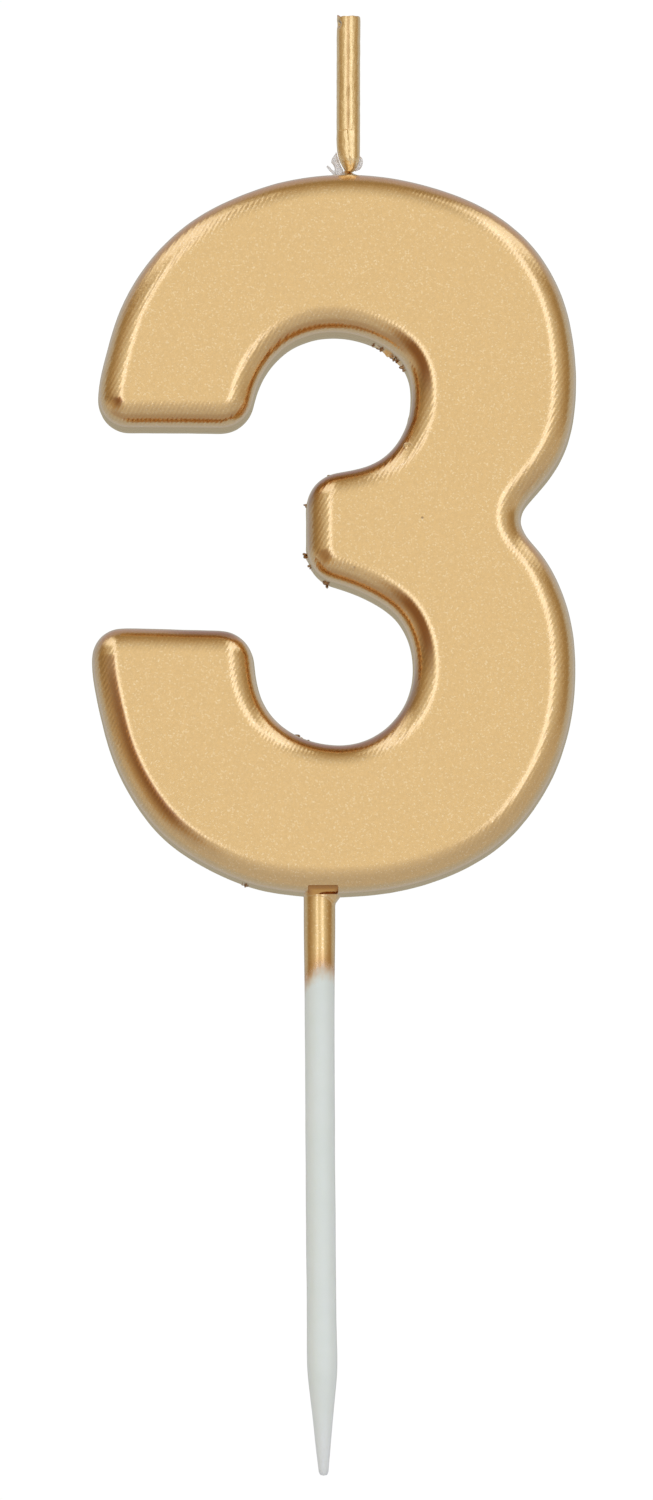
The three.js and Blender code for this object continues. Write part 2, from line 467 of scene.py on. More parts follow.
def wax_skirt():
    """Wax that ran a little way down the pick: a lip all round and a web on the right."""
    columns, rows = 72, 14
    top = 0.35
    points = []
    for r in range(rows):
        t = r / (rows - 1)
        lip = 1.56 * (1 - max(0, t - 0.9))
        for c in range(columns):
            angle = 2 * math.pi * c / columns
            web = bell(near_angle(angle, -0.15), 0.8) + 0.35 * bell(near_angle(angle, 2.2), 0.6)
            bottom = -0.14 - 1.02 * web + 0.05 * ripple((math.cos(angle), math.sin(angle), 0), 0.5)
            outer = 1.74 + 0.72 * web
            radius = max(PICK_RADIUS + (outer - PICK_RADIUS) * (1 - t) ** 1.25, lip)
            points.append((radius * math.cos(angle), radius * math.sin(angle), top + (bottom - top) * t))
    return new_object("skirt", points, grid_faces(rows, columns))


def join_into(made, other):
    """Adds another object's mesh to a mesh and removes that object."""
    with editing(made) as shape:
        shape.from_mesh(other.data)
    bpy.data.objects.remove(other)


# ---- The pick ----

PICK_LENGTH = 56.1  # below the digit
PICK_LEAN = 0.4  # how far the tip stands to the right
# Radius and height up the pick
PICK_STATIONS = (
    (0.30, -56.1), (0.42, -55.95), (0.63, -54.0), (1.02, -49.9), (1.40, -46.4), (1.44, -45.2),
    (1.40, -42.0), (1.39, -26.0), (1.40, -12.0), (1.49, -3.0), (1.5, 0.6), (1.5, 2.0),
)


def pick_profile():
    """Radius and height up the pick, finely spaced and with its corners eased."""
    radii, heights = np.array(PICK_STATIONS).T
    z = np.arange(-PICK_LENGTH, 2.01, 0.3)
    r = np.interp(z, heights, radii)
    kernel = np.exp(-0.5 * (np.arange(-6, 7) / 2.2) ** 2)
    padded = np.pad(r, 6, mode="reflect", reflect_type="odd")
    smooth = np.convolve(padded, kernel / kernel.sum(), "valid")
    smooth[:4] = r[:4]  # the tip keeps its corner
    return list(zip(smooth, z))


def pick_body():
    """The pick below the digit, with the moulding seam down both its sides."""
    columns = 64
    rings = pick_profile()
    points = []
    for radius, z in rings:
        lean = PICK_LEAN * (max(0, -z) / PICK_LENGTH) ** 2
        for c in range(columns):
            angle = 2 * math.pi * c / columns
            seam = 0.035 * bell(math.sin(angle), 0.06)
            uneven = 0.02 * ripple((math.cos(angle), math.sin(angle), z / 4), 1.1, 11)
            outer = radius + seam + uneven
            points.append((outer * math.cos(angle) + lean, outer * math.sin(angle), z))
    points += [(PICK_LEAN, 0, rings[0][1] - 0.06), (0, 0, rings[-1][1])]
    faces = grid_faces(len(rings), columns)
    faces += end_fans(columns, (len(rings) - 1) * columns, len(points) - 2, len(points) - 1)
    return solid_object("pick_shaft", points, faces)


# ---- The wick ----

# Height, left edge and right edge of the coated wick
WICK_EDGES = (
    (70.8, 2.5, 3.3), (70.95, 2.42, 3.46), (71.2, 2.3, 3.6), (71.45, 2.15, 3.72), (71.83, 1.97, 3.86),
    (72.34, 1.8, 3.93), (72.9, 1.71, 3.94), (73.9, 1.66, 3.95), (75.5, 1.66, 3.95), (80.0, 1.67, 3.95),
    (84.6, 1.68, 3.98), (85.7, 1.7, 4.0), (86.3, 1.74, 3.96),
)
WICK_BOTTOM = WICK_EDGES[0][0]
PINCH_TOP = 74.85  # where the pinched lower end of the coat begins
CLEFT_BOTTOM = 71.1
CUT_HEIGHT = 86.0
CUT_RINGS = ((0.86, 0.02), (0.62, 0.1), (0.3, 0.13))  # share of the width and drop, across the cut end
NICK_PLACE = (1.8, -0.55, 85.3)  # middle of the burnt nick below the cut end
NICK_HEIGHT = 85.28
NICK_ANGLE = 3.5

PLIES = 3
PLY_X = 2.77
PLY_BOTTOM = 58.4
PLY_TOP = 85.62
PLY_LAY = 3.6  # height of one full twist
PLY_ORBIT = 0.17  # from the wick's axis to the middle of a ply
PLY_RADIUS = 0.125


def wick_groove(angle, z):
    """Share of the half width that is missing: the groove between plies, or the pinched end's cleft."""
    across = math.cos(angle)
    groove = 0.09 * abs(math.sin(angle)) * bell(across + 0.03, 0.13)
    groove *= 1 + 0.9 * ripple((0, 0, z), 1.5, 8)
    pinched = min(1, max(0, (PINCH_TOP + 0.05 * across - z) / 0.07))
    run = max(0, PINCH_TOP - z) / 4
    cleft = 0.075 * min(1, max(0, (z - CLEFT_BOTTOM) / 0.5)) * bell(across + 0.16 - 0.42 * run, 0.1)
    flat = 0.045 * (1 if across < 0.3 else max(0, 1 - (across - 0.3) / 0.25))
    front = max(0.0, -math.sin(angle)) ** 0.5
    return groove * (1 - pinched) + pinched * front * (cleft + flat)


def wick_surface(angle, z):
    """A point on the coated wick's side."""
    heights, left, right = np.array(WICK_EDGES).T
    low, high = np.interp(z, heights, left), np.interp(z, heights, right)
    middle, half = (low + high) / 2, (high - low) / 2
    depth = min(1.12, half + 0.12)
    across = math.cos(angle)
    fibre = 0.012 * ripple((across * 1.1, math.sin(angle) * 1.1, z * 0.4), 0.2, 2)
    lump = 0.014 * ripple((across, math.sin(angle), z), 0.8, 5)
    scale = 1 - wick_groove(angle, z) + fibre + lump
    # The grooves leave the outline as it is
    side_scale = scale if abs(across) < 0.8 else 1 + fibre + lump
    return middle + half * side_scale * across, depth * scale * math.sin(angle), z


def wick_top(angle):
    """Height of the ragged cut end at each side."""
    ragged = 0.06 * ripple((math.cos(angle) * 1.1, math.sin(angle) * 1.1, 0), 0.5, 9)
    spike = 0.24 * bell(near_angle(angle, math.pi), 0.2)
    sunk = 0.1 * bell(near_angle(angle, math.pi + 0.65), 0.35)
    worn = 0.14 * bell(near_angle(angle, 0), 0.3)
    return CUT_HEIGHT + 0.02 + ragged + spike - sunk - worn


def wick_side(columns, rows):
    """Rings of points up the coated wick's side, with the burnt nick below its cut end."""
    points = []
    for r in range(rows):
        t = (r / (rows - 1)) ** 1.15
        for c in range(columns):
            angle = 2 * math.pi * c / columns
            x, y, z = wick_surface(angle, WICK_BOTTOM + (wick_top(angle) - WICK_BOTTOM) * t)
            nick = 0.34 * bell(z - NICK_HEIGHT, 0.26) * bell(near_angle(angle, NICK_ANGLE), 0.4)
            points.append((WICK_X + (x - WICK_X) * (1 - nick), y * (1 - nick), z))
    return points


def wick_shell():
    """The coated wick above the digit, closed at its foot and across its rough cut end."""
    columns, rows = 96, 200
    points = wick_side(columns, rows)
    edge = points[-columns:]
    for share, drop in CUT_RINGS:
        for x, y, z in edge:
            rough = 0.08 * ripple((x * share, y * share, 1), 0.25, 4)
            height = CUT_HEIGHT + (z - CUT_HEIGHT) * share - drop + rough
            points.append((WICK_X + (x - WICK_X) * share, y * share, height))
    total = rows + len(CUT_RINGS)
    points += [(WICK_X, 0, CUT_HEIGHT - 0.12), (WICK_X + 0.08, 0, WICK_BOTTOM - 0.05)]
    faces = grid_faces(total, columns)
    faces += end_fans(columns, (total - 1) * columns, len(points) - 1, len(points) - 2)
    return solid_object("wick_shell", points, faces)


def wick_ply(number):
    """One of the wick's twisted cotton plies, with fine threads along it."""
    columns, rows = 18, 260
    bottom, top = PLY_BOTTOM, PLY_TOP + 0.14 * number
    points = []
    for r in range(rows):
        t = r / (rows - 1)
        z = bottom + (top - bottom) * t
        turn = 2 * math.pi * (number / PLIES + (z - bottom) / PLY_LAY)
        from_end = (1 - t) * 60
        frayed = 0.04 * (1 - min(1, from_end))
        for c in range(columns):
            angle = 2 * math.pi * c / columns
            thread = 1 + 0.16 * math.cos(6 * angle + 5 * z)
            radius = PLY_RADIUS * thread * min(1, from_end + 0.35)
            points.append((
                PLY_X + PLY_ORBIT * math.cos(turn) + radius * math.cos(angle),
                PLY_ORBIT * math.sin(turn) + radius * math.sin(angle),
                z + frayed * math.sin(3 * angle + number),
            ))
    faces = grid_faces(rows, columns)
    faces.append(tuple(reversed(range(columns))))
    faces.append(tuple((rows - 1) * columns + c for c in range(columns)))
    return solid_object(f"cotton_ply_{number + 1}", points, faces)


# ---- Flakes of wax at the wick's foot ----

LEFT_FLAKE = (
    ((1.42, 70.2), (2.5, 70.2)),
    ((1.45, 70.7), (2.45, 70.7)),
    ((1.46, 71.2), (2.2, 71.2)),
    ((1.3, 71.55), (2.05, 71.5)),
    ((1.12, 71.8), (1.95, 71.75)),
    ((1.2, 72.1), (1.85, 72.1)),
    ((1.4, 72.4), (1.75, 72.4)),
    ((1.58, 72.68), (1.66, 72.7)),
)
LEFT_ARM = (
    ((1.35, 70.25), (1.75, 70.45)),
    ((1.3, 70.5), (1.55, 70.75)),
    ((1.0, 70.85), (1.2, 71.05)),
    ((0.75, 71.15), (0.95, 71.3)),
    ((0.66, 71.32), (0.78, 71.42)),
)
RIGHT_FLAKE = (
    ((3.3, 71.0), (3.5, 70.82)),
    ((3.6, 71.2), (3.9, 70.98)),
    ((3.74, 71.5), (4.14, 71.3)),
    ((3.8, 71.8), (4.26, 71.7)),
    ((3.84, 72.1), (4.2, 72.05)),
    ((3.86, 72.35), (4.02, 72.32)),
)


def flake_stations(spine, steps=6):
    """Pairs of opposite edge points along a flake, evenly spaced between the spine's own."""
    stations = []
    for (a, b), (c, d) in zip(spine, spine[1:]):
        for k in range(steps):
            t = k / steps
            stations.append((
                [a[i] + (c[i] - a[i]) * t for i in range(2)],
                [b[i] + (d[i] - b[i]) * t for i in range(2)],
            ))
    stations.append(spine[-1])
    return stations


def flake_row(one, two, run, side, depth, bend, across):
    """Points across one side of a flake, between two opposite edge points."""
    body = 0.35 + 0.65 * math.sin(math.pi * min(1, run + 0.08))
    points = []
    for k in range(across):
        t = k / (across - 1)
        thick = depth * math.sqrt(max(0.0, 1 - (2 * t - 1) ** 2)) * body
        x = one[0] + (two[0] - one[0]) * t
        z = one[1] + (two[1] - one[1]) * t
        curl = bend * ((t - 0.5) ** 2 * 4 - 0.5) + bend * math.sin(3.5 * run)
        rough = 0.05 * ripple((x, run, z), 0.3, 6)
        points.append((x + rough * 0.5, side * thick + curl + rough, z + rough * 0.4))
    return points


def flake(name, spine, depth, bend):
    """A thin flake, `depth` thick from its middle and curled by `bend`.

    Its spine holds, from end to end, two opposite edge points in x and z.
    """
    across = 9
    stations = flake_stations(spine)
    count = len(stations)
    points = []
    for s, (one, two) in enumerate(stations):
        for side in (-1, 1):
            points += flake_row(one, two, s / (count - 1), side, depth, bend, across)
    ring = 2 * across
    order = list(range(across)) + [across + k for k in reversed(range(across))]
    faces = []
    for s in range(count - 1):
        for k in range(ring):
            a, b = order[k], order[(k + 1) % ring]
            faces.append((s * ring + a, s * ring + b, (s + 1) * ring + b, (s + 1) * ring + a))
    faces.append(tuple(order))
    faces.append(tuple((count - 1) * ring + k for k in reversed(order)))
    made = new_object(name, points, faces)
    # The two sides meet along their edges
    with editing(made) as shape:
        bmesh.ops.remove_doubles(shape, verts=shape.verts, dist=1e-6)
        bmesh.ops.recalc_face_normals(shape, faces=shape.faces)
    return made


# ---- Materials ----


class Graph:
    """Short names for building a node tree."""

    def __init__(self, tree):
        self.tree = tree
        tree.nodes.clear()

    def node(self, kind, **settings):
        made = self.tree.nodes.new(kind)
        for name, value in settings.items():
            setattr(made, name, value)
        return made

    def feed(self, socket, value):
        """Links another node's output to a socket, or sets the socket's own value."""
        if isinstance(value, bpy.types.NodeSocket):
            self.tree.links.new(value, socket)
        elif hasattr(socket.default_value, "__len__") and len(socket.default_value) == 4:
            socket.default_value = (*value[:3], 1)
        else:
            socket.default_value = value

    def fill(self, node, **values):
        """Feeds a node's sockets by their names, with _ for a space."""
        for name, value in values.items():
            self.feed(node.inputs[name.replace("_", " ")], value)

    def math(self, operation, *values):
        made = self.node("ShaderNodeMath", operation=operation)
        for socket, value in zip(made.inputs, values):
            self.feed(socket, value)
        return made.outputs[0]

    def product(self, first, *others):
        for value in others:
            first = self.math("MULTIPLY", first, value)
        return first

    def away(self, value, place):
        """How far a value is from a place, on either side."""
        return self.math("ABSOLUTE", self.math("SUBTRACT", value, place))

    def blend(self, share, first, second):
        """From one number to another as the share goes from 0 to 1."""
        change = self.math("SUBTRACT", second, first)
        return self.math("MULTIPLY_ADD", share, change, first)

    def vector(self, operation, *values, scale=None):
        made = self.node("ShaderNodeVectorMath", operation=operation)
        for socket, value in zip(made.inputs, values):
            self.feed(socket, value)
        if scale is not None:
            self.fill(made, Scale=scale)
        return made.outputs["Value" if operation in ("DOT_PRODUCT", "DISTANCE") else "Vector"]

    def split(self, vector):
        made = self.node("ShaderNodeSeparateXYZ")
        self.feed(made.inputs[0], vector)
        return made.outputs

    def normal(self):
        return self.node("ShaderNodeNewGeometry").outputs["Normal"]

    def noise(self, vector, size, detail=2.0, roughness=0.5):
        """Noise with features of `size` in the vector's unit."""
        made = self.node("ShaderNodeTexNoise")
        self.fill(made, Vector=vector, Scale=1 / size, Detail=detail, Roughness=roughness)
        return made.outputs["Fac"]

    def cells(self, vector, size):
        """A colour of its own for each cell of about `size`."""
        made = self.node("ShaderNodeTexVoronoi")
        self.fill(made, Vector=vector, Scale=1 / size)
        return made.outputs["Color"]

    def ease(self, value, low, high, to_low=0.0, to_high=1.0):
        """Smoothly from to_low to to_high as the value goes from low to high."""
        made = self.node("ShaderNodeMapRange", interpolation_type="SMOOTHSTEP")
        for socket, given in zip(made.inputs, (value, low, high, to_low, to_high)):
            self.feed(socket, given)
        return made.outputs[0]

    def window(self, value, low, high, edge):
        """1 from low to high and 0 outside, eased over `edge` on both sides of each."""
        return self.product(
            self.ease(value, low - edge, low + edge),
            self.ease(value, high + edge, high - edge),
        )

    def mix(self, share, first, second):
        """From one colour to another as the share goes from 0 to 1."""
        made = self.node("ShaderNodeMix", data_type="RGBA")
        for index, value in ((0, share), (6, first), (7, second)):
            self.feed(made.inputs[index], value)
        return made.outputs[2]

    def bump(self, height, depth, normal=None):
        """A bump of `depth` millimetres."""
        made = self.node("ShaderNodeBump")
        self.fill(made, Strength=1.0, Distance=depth * MM, Height=height)
        if normal is not None:
            self.fill(made, Normal=normal)
        return made.outputs[0]


def new_material(name, **uniform):
    """A material with one Principled shader, its graph, the shader and the place in millimetres."""
    material = bpy.data.materials.new(name)
    material.use_nodes = True
    graph = Graph(material.node_tree)
    shader = graph.node("ShaderNodeBsdfPrincipled")
    out = graph.node("ShaderNodeOutputMaterial")
    graph.feed(out.inputs[0], shader.outputs[0])
    graph.fill(shader, **uniform)
    place = graph.node("ShaderNodeTexCoord").outputs["Object"]
    return material, graph, shader, graph.vector("SCALE", place, scale=1000.0)


GOLD = (0.80, 0.53, 0.228)
# Painted shade: darker gold in grooves and in lines along the rounds
GOLD_PAINTED_SHADE = (0.50, 0.25, 0.07)
GOLD_PALE = (0.95, 0.72, 0.42)
# Painted dark reflection on the gold rounds
GOLD_PAINTED_DARK_REFLECTION = (0.31, 0.115, 0.016)
WICK_GOLD = (1.0, 0.73, 0.36)
FOOT_GOLD = (1.0, 0.86, 0.56)
CRUMB_BROWN = (0.26, 0.14, 0.055)
# Painted shade in the key notch, and its deepest shade
NOTCH_SHADE_BROWN = (0.60, 0.31, 0.07)
NOTCH_DEEP_SHADE = (0.28, 0.10, 0.015)
CUT_BROWN = (0.46, 0.26, 0.18)
NICK_BROWN = (0.12, 0.05, 0.02)
FOOT_BROWN = (0.40, 0.20, 0.10)
THIN_LACQUER = (0.72, 0.42, 0.17)
PLASTIC_SHADED = (0.80, 0.855, 0.785)
PLASTIC_WHITE = (0.86, 0.90, 0.84)


def gold_colour(graph, place):
    """Lacquer colour with soft mottling and small flecks."""
    mottle = graph.ease(graph.noise(place, 0.3, 2, 0.6), 0.3, 0.7)
    colour = graph.mix(mottle, tuple(c * 0.955 for c in GOLD), tuple(c * 1.02 for c in GOLD))
    fleck = graph.noise(place, 0.17, 1)
    return graph.mix(graph.ease(fleck, 0.58, 0.74, 0.0, 0.8), colour, GOLD_PALE)


def painted_dark_reflection_share(graph, across, x):
    """Where a painted dark reflection darkens the front round: on slopes that face down to the left."""
    down = math.radians(DARK_REFLECTION_HEADING)
    slope = graph.vector("DOT_PRODUCT", graph.normal(), (math.cos(down), 0, math.sin(down)))
    aside = graph.vector("DOT_PRODUCT", graph.normal(), (-math.sin(down), 0, math.cos(down)))
    aside = graph.math("DIVIDE", graph.math("ABSOLUTE", aside), graph.math("MAXIMUM", slope, 0.05))

    def by_side(outside, counters):
        return graph.ease(x, -14.0, -6.0, outside, counters)

    # Nearer the face on the digit's left side than in the counters
    rise = graph.ease(slope, by_side(0.12, 0.18), by_side(0.22, 0.32))
    fall = graph.ease(slope, by_side(0.72, 0.8), by_side(0.28, 0.45))
    # Less of it on the stub between the counters
    from_stub = graph.away(x, -1.0)
    narrowed = graph.ease(aside, graph.ease(from_stub, 2.5, 4.5, 0.42, 0.8), 0.2)
    faded = graph.ease(from_stub, 2.5, 4.5, 0.6, 1.0)
    return graph.product(rise, fall, narrowed, graph.ease(across, 1.0, 0.8), faded)


def flake_normal(graph, place, base, spread):
    """Tilts the surface a little from one metal flake to the next."""
    tilt = graph.vector("SUBTRACT", graph.cells(place, 0.11), (0.5, 0.5, 0.5))
    tilted = graph.vector("ADD", base, graph.vector("SCALE", tilt, scale=spread))
    return graph.vector("NORMALIZE", tilted)


def tool_marks(graph, place, across):
    """Fine marks of the tool that cut the mould's round: their ridges, and how strongly they show."""
    wander = graph.product(graph.noise(place, 1.6), 2.5)
    course = math.radians(TOOL_COURSE)
    passes = graph.vector("DOT_PRODUCT", place, (math.sin(course), 0, -math.cos(course)))
    phase = graph.math("MULTIPLY_ADD", passes, 2 * math.pi / TOOL_PITCH, wander)
    ridges = graph.math("MULTIPLY_ADD", graph.math("SINE", phase), 0.5, 0.5)
    band = graph.product(graph.ease(across, 0.03, 0.17), graph.ease(across, 0.85, 0.6))
    patchy = graph.ease(graph.noise(place, 7.0, 1), 0.4, 0.58, 0.5, 1.0)
    uneven = graph.ease(graph.noise(place, 0.5, 1), 0.25, 0.6, 0.35, 1.0)
    # Fainter at the digit's bottom and on slopes that face up to the right
    _, _, z = graph.split(place)
    rightward, _, upward = graph.split(graph.normal())
    low_down = graph.ease(z, 2.0, 9.0, 0.15, 1.0)
    slope = graph.ease(graph.math("ADD", rightward, upward), 0.1, 0.5, 1.0, 0.45)
    return ridges, graph.product(band, patchy, uneven, low_down, slope)


def add_painted_reflection_lines(graph, colour, across, x, z):
    """Painted dark reflections in lines on the rounds: where they face down, and where they face up."""
    rightward, _, upward = graph.split(graph.normal())
    # Painted dark reflection where the round faces down
    line = graph.product(graph.ease(across, 0.34, 0.46), graph.ease(across, 0.6, 0.52))
    lower = graph.product(graph.ease(upward, -0.35, -0.6), graph.ease(z, 8.0, 14.0))
    colour = graph.mix(graph.product(line, lower, 0.6), colour, GOLD_PAINTED_SHADE)
    # Painted dark reflection where the round faces up
    line = graph.product(graph.ease(across, 0.36, 0.66), graph.ease(across, 0.9, 0.74))
    upper = graph.math("MULTIPLY_ADD", rightward, -0.5, graph.product(upward, 0.87))
    upper = graph.product(graph.ease(upper, 0.2, 0.62), graph.ease(x, -16.0, -12.0, 0.35, 1.0))
    # Hardly any on the outside of the upper half
    outside = graph.product(graph.ease(z, 29.0, 32.0), graph.ease(graph.math("ABSOLUTE", x), 11.0, 14.0))
    outside = graph.math("MAXIMUM", outside, graph.ease(z, 56.0, 64.0))
    upper = graph.product(upper, graph.math("MULTIPLY_ADD", outside, -0.9, 1.0))
    return graph.mix(graph.product(line, upper, 0.75), colour, GOLD_PAINTED_DARK_REFLECTION)


def add_pits(graph, colour, place):
    """Small brown pits in the face."""
    for pit_x, pit_z, radius in PITS:
        away = graph.vector("DISTANCE", place, (pit_x, -HALF_THICKNESS, pit_z))
        pit = graph.ease(away, radius, radius * 0.4, 0.0, 0.75)
        colour = graph.mix(pit, colour, CRUMB_BROWN)
    return colour


def add_notch_shade_and_crumbs(graph, colour, across, x, z):
    """Painted shade in the notch, brown and darker at its top and sides, and brown on the crumbs."""
    recess = graph.math("LESS_THAN", across, (NOTCH_PLACE + CRUMB_PLACE) / 2)
    side = graph.ease(graph.away(x, sum(NOTCH_SIDES) / 2), 0.8, 1.45)
    deeper_shade = graph.math("MAXIMUM", side, graph.ease(z, 0.35, 0.65))
    colour = graph.mix(recess, colour, graph.mix(graph.product(deeper_shade, 0.6), NOTCH_SHADE_BROWN, NOTCH_DEEP_SHADE))
    crumb = graph.math("COMPARE", across, float(CRUMB_PLACE), 1.0)
    return graph.mix(graph.product(crumb, 0.85), colour, CRUMB_BROWN)


def digit_lacquer():
    """Gold lacquer over the digit's wax, with painted shade and painted dark reflections."""
    material, graph, shader, place = new_material(
        "gold_lacquered_wax", Metallic=1.0, Coat_Weight=1.0, Coat_Roughness=0.12, Coat_IOR=1.5
    )
    _, across, _ = graph.split(graph.node("ShaderNodeUVMap", uv_map="rim").outputs[0])
    x, _, z = graph.split(place)
    ridges, marked = tool_marks(graph, place, across)
    # Painted shade in the grooves between the tool marks' ridges
    between = graph.product(marked, graph.math("SUBTRACT", 1.0, ridges))
    colour = graph.mix(graph.product(between, 0.25), gold_colour(graph, place), GOLD_PAINTED_SHADE)
    # Painted dark reflection on the front round's slopes that face down to the left
    colour = graph.mix(painted_dark_reflection_share(graph, across, x), colour, GOLD_PAINTED_DARK_REFLECTION)
    colour = add_painted_reflection_lines(graph, colour, across, x, z)
    colour = add_pits(graph, colour, place)
    colour = add_notch_shade_and_crumbs(graph, colour, across, x, z)
    roughness = graph.ease(graph.noise(place, 0.6), 0.2, 0.8, 0.16, 0.21)
    skin = graph.bump(graph.noise(place, 0.3, 3, 0.6), 0.006)
    skin = graph.bump(graph.product(ridges, marked), 0.013, skin)
    normal = flake_normal(graph, place, skin, 0.05)
    graph.fill(shader, Base_Color=colour, Roughness=roughness, Normal=normal)
    return material


def coat_lacquer():
    """Gold lacquer over the wick's coat, with raw brown at its cut end, in the nick and at the foot."""
    material, graph, shader, place = new_material(
        "gold_lacquered_coat", Metallic=1.0, Coat_Weight=0.4, Coat_Roughness=0.25, Coat_IOR=1.5
    )
    x, _, z = graph.split(place)
    colour = graph.mix(0.65, gold_colour(graph, place), WICK_GOLD)
    colour = graph.mix(graph.ease(z, 72.4, 71.4, 0.0, 0.6), colour, FOOT_GOLD)
    ragged = graph.product(graph.noise(place, 0.25), 0.35)
    cut = graph.ease(graph.math("ADD", z, ragged), CUT_HEIGHT + 0.1, CUT_HEIGHT + 0.3)
    nick = graph.vector("DISTANCE", place, NICK_PLACE)
    nick = graph.ease(graph.math("ADD", nick, ragged), 0.68, 0.42)
    foot = graph.ease(graph.math("MULTIPLY_ADD", graph.away(x, 2.85), -0.9, z), 70.9, 70.7)
    colour = graph.mix(graph.product(cut, 0.8), colour, CUT_BROWN)
    colour = graph.mix(graph.product(nick, 0.8), colour, NICK_BROWN)
    colour = graph.mix(graph.product(foot, 0.3), colour, FOOT_BROWN)
    # Painted shade along the groove between the plies
    groove = graph.ease(graph.away(x, 2.78), 0.2, 0.05)
    groove = graph.product(groove, graph.ease(z, PINCH_TOP - 0.15, PINCH_TOP + 0.15))
    colour = graph.mix(graph.product(groove, 0.6), colour, GOLD_PAINTED_SHADE)
    metallic = graph.math("MULTIPLY_ADD", graph.math("MAXIMUM", nick, cut), -0.85, 1.0)
    roughness = graph.ease(graph.noise(place, 0.4), 0.2, 0.8, 0.22, 0.36)
    stretched = graph.vector("MULTIPLY", place, (1.0, 1.0, 0.6))
    skin = graph.bump(graph.noise(stretched, 0.14, 3, 0.6), 0.02)
    normal = flake_normal(graph, place, skin, 0.08)
    graph.fill(shader, Base_Color=colour, Metallic=metallic, Roughness=roughness, Normal=normal)
    return material


def pick_plastic():
    """White plastic, with the lacquer that reached the pick's top and thins out down it."""
    material, graph, shader, place = new_material(
        "white_plastic", IOR=1.49, Coat_Weight=0.15, Coat_Roughness=0.2,
        Subsurface_Weight=1.0, Subsurface_Scale=0.002, Subsurface_Radius=(1.0, 1.0, 0.95),
    )
    x, _, z = graph.split(place)
    white = graph.mix(graph.noise(place, 2.5, 3), PLASTIC_SHADED, PLASTIC_WHITE)
    side = graph.math("MULTIPLY_ADD", graph.product(x, x), 0.45, graph.product(x, -0.4))
    drawn_out = graph.vector("MULTIPLY", place, (1.4, 1.4, 0.7))
    streaks = graph.math("MULTIPLY_ADD", graph.noise(drawn_out, 0.45, 3, 0.6), 1.1, -0.55)
    level = graph.math("ADD", graph.math("ADD", z, side), streaks)
    lacquer = graph.ease(level, -8.7, -6.2)
    thin = graph.mix(graph.ease(level, -7.0, -4.8), THIN_LACQUER, gold_colour(graph, place))
    metallic = graph.ease(level, -7.9, -6.0)
    roughness = graph.blend(lacquer, 0.42, 0.25)
    skin = graph.bump(graph.noise(place, 0.5, 3, 0.6), 0.012)
    colour = graph.mix(lacquer, white, thin)
    graph.fill(shader, Base_Color=colour, Metallic=metallic, Roughness=roughness, Normal=skin)
    return material


def cotton():
    """Raw cotton with fine threads along it."""
    material, graph, shader, place = new_material("cotton", Roughness=0.95)
    stretched = graph.vector("MULTIPLY", place, (3.0, 3.0, 1.0))
    threads = graph.noise(stretched, 0.2, 3)
    colour = graph.mix(threads, (0.62, 0.52, 0.40), (0.86, 0.80, 0.68))
    graph.fill(shader, Base_Color=colour, Normal=graph.bump(threads, 0.03))
    return material


def clear_wax():
    """Wax without lacquer, slightly see-through."""
    material, graph, shader, place = new_material(
        "clear_wax", Roughness=0.35, IOR=1.44, Alpha=0.72,
        Subsurface_Weight=0.3, Subsurface_Scale=0.0006, Subsurface_Radius=(1.0, 1.0, 1.0),
    )
    haze = graph.noise(place, 0.4, 3)
    colour = graph.mix(haze, (0.93, 0.90, 0.86), (0.985, 0.975, 0.96))
    graph.fill(shader, Base_Color=colour, Normal=graph.bump(haze, 0.012))
    return material


# ---- Build the candle ----

lacquer = digit_lacquer()
rim = Rim()
digit = digit_blank(rim)
cut_away(digit, key_notch())
add_lumps(digit, crumb_lumps(rim))
join_into(digit, wax_skirt())
finish_piece(digit, ["wax_digit"], lacquer, 38)

finish_piece(pick_body(), ["pick"], pick_plastic())

finish_piece(wick_shell(), ["wick_coat"], coat_lacquer())
cotton_material = cotton()
for ply in range(PLIES):
    finish_piece(wick_ply(ply), [f"wick_ply_{ply + 1}"], cotton_material)

wax = clear_wax()
left_flake = flake("flake_left", LEFT_FLAKE, 0.09, 0.12)
join_into(left_flake, flake("flake_left_arm", LEFT_ARM, 0.08, -0.08))
finish_piece(left_flake, ["coat_shard_left"], wax)
finish_piece(flake("flake_right", RIGHT_FLAKE, 0.12, -0.1), ["coat_shard_right"], wax)


# ---- Floor, light and camera ----

FLOOR_RADIUS = 6000
FLOOR_SIDES = 64
FLOOR_HEIGHT = -200
CAMERA_PLACE = (0.68, -1100, -78)
CAMERA_AIM = (0.68, 0, 14.2)
FOCAL_LENGTH = 272.7


def studio_directions(graph):
    """A ray's direction in degrees: off straight ahead of the candle, round to the right, and up."""
    degrees = 180 / math.pi
    x, y, z = graph.split(graph.node("ShaderNodeTexCoord").outputs["Generated"])
    ahead = graph.product(y, -1.0)
    off_axis = graph.product(graph.math("ARCCOSINE", ahead), degrees)
    azimuth = graph.product(graph.math("ARCTAN2", x, ahead), degrees)
    height = graph.product(graph.math("ARCSINE", z), degrees)
    return off_axis, azimuth, height


def soft_boxes(graph, azimuth, height):
    """Light of two tall soft boxes, which lean outwards as they rise, and of the wings above them."""
    aside = graph.math("ABSOLUTE", azimuth)
    leaning = graph.math("MULTIPLY_ADD", graph.math("MAXIMUM", height, 0.0), -0.35, aside)
    right = graph.math("GREATER_THAN", azimuth, 0.0)
    inner = graph.blend(right, 10.0, 13.0)
    outer = graph.blend(right, 23.0, 31.0)
    rise = graph.ease(graph.math("SUBTRACT", leaning, inner), -3.0, 3.0)
    fall = graph.ease(graph.math("SUBTRACT", outer, leaning), -3.0, 3.0)
    boxes = graph.product(rise, fall, graph.window(height, -16.0, 50.0, 5.0), 0.62)
    wings = graph.window(aside, 38.0, 108.0, 12.0)
    wings = graph.product(wings, graph.window(height, 39.0, 67.0, 9.0), 0.8)
    return graph.math("ADD", boxes, wings)


